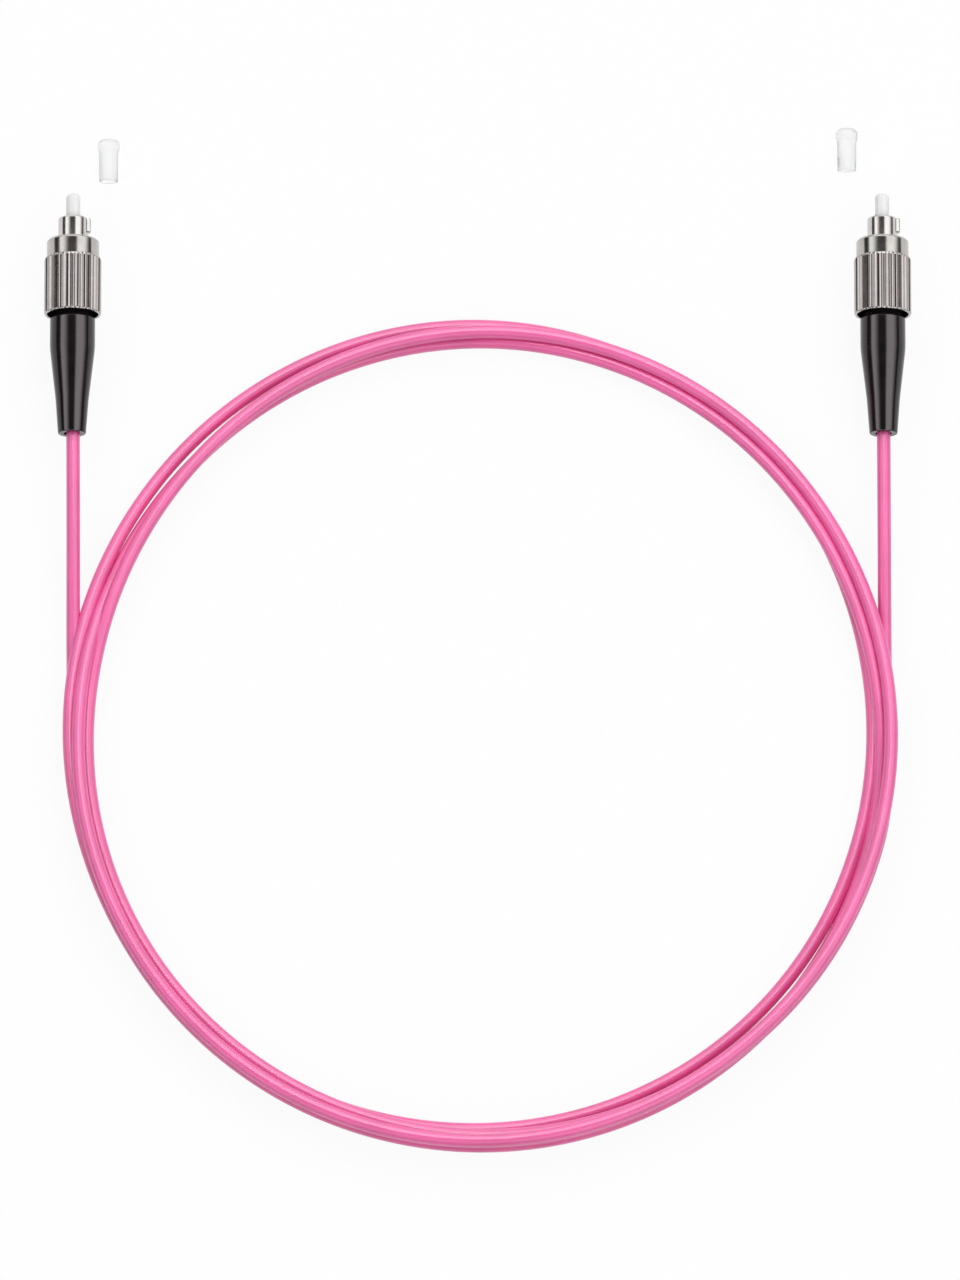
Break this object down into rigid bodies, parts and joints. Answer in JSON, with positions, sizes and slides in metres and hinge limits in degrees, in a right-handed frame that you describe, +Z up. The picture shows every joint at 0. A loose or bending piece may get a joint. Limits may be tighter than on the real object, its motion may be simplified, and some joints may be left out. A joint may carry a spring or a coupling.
{
  "type": "fibre patch cord",
  "caption": "Simplex fibre patch cord laid in a loose round ring, with a knurled screw-on metal connector and tapered boot at each end and loose dust caps.",
  "frame": {"origin": "on the floor, midway between the two connectors and half way along the connectors and caps", "axes": "+Z up, +Y along both connectors from boot to ferrule tip, +X from connector a to connector b"},
  "size_m": [0.152, 0.1837, 0.01],
  "materials": {
    "ferrule_ceramic": "polished",
    "holder_steel": "satin",
    "fibre_buffer": "satin",
    "nickel_barrel": "polished",
    "spring_steel": "satin",
    "nickel_body": "satin",
    "nickel_nut": "polished",
    "crimp_metal": "satin",
    "aramid": "matte",
    "boot_rubber": "satin",
    "cap_plastic": "satin",
    "cord_jacket": "satin"
  },
  "bodies": {
    "root": {"plug_frame_a": "nickel_barrel", "spring_a": "spring_steel", "stop_body_a": "nickel_body", "crimp_sleeve_a": "crimp_metal", "aramid_yarn_a": "aramid", "boot_a": "boot_rubber", "dust_cap_a": "cap_plastic", "cord_tail_a": "cord_jacket", "plug_frame_b": "nickel_barrel", "spring_b": "spring_steel", "stop_body_b": "nickel_body", "crimp_sleeve_b": "crimp_metal", "aramid_yarn_b": "aramid", "boot_b": "boot_rubber", "dust_cap_b": "cap_plastic", "cord_tail_b": "cord_jacket", "cord_coil": "cord_jacket"},
    "ferrule_group_a": {"ferrule_a": "ferrule_ceramic", "ferrule_flange_a": "holder_steel", "buffered_fibre_a": "fibre_buffer"},
    "ring_a": {"retaining_ring_a": "spring_steel"},
    "nut_a": {"coupling_nut_a": "nickel_nut"},
    "ferrule_group_b": {"ferrule_b": "ferrule_ceramic", "ferrule_flange_b": "holder_steel", "buffered_fibre_b": "fibre_buffer"},
    "ring_b": {"retaining_ring_b": "spring_steel"},
    "nut_b": {"coupling_nut_b": "nickel_nut"}
  },
  "joints": [
    {"name": "ferrule_push_a", "type": "slide", "parent": "root", "child": "ferrule_group_a", "axis": [0, -1, 0], "range_m": [0, 0.0012], "stiffness_N_per_m": 1000, "deforming": ["spring_a"]},
    {"name": "nut_slide_a", "type": "slide", "parent": "root", "child": "ring_a", "axis": [0, 1, 0], "range_m": [0, 0.00395]},
    {"name": "nut_spin_a", "type": "hinge", "parent": "ring_a", "child": "nut_a", "pos_m": [-0.07105, 0, 0.005], "axis": [0, 1, 0], "continuous": true},
    {"name": "ferrule_push_b", "type": "slide", "parent": "root", "child": "ferrule_group_b", "axis": [0, -1, 0], "range_m": [0, 0.0012], "stiffness_N_per_m": 1000, "deforming": ["spring_b"]},
    {"name": "nut_slide_b", "type": "slide", "parent": "root", "child": "ring_b", "axis": [0, 1, 0], "range_m": [0, 0.00395]},
    {"name": "nut_spin_b", "type": "hinge", "parent": "ring_b", "child": "nut_b", "pos_m": [0.07105, 0, 0.005], "axis": [0, 1, 0], "continuous": true}
  ]
}
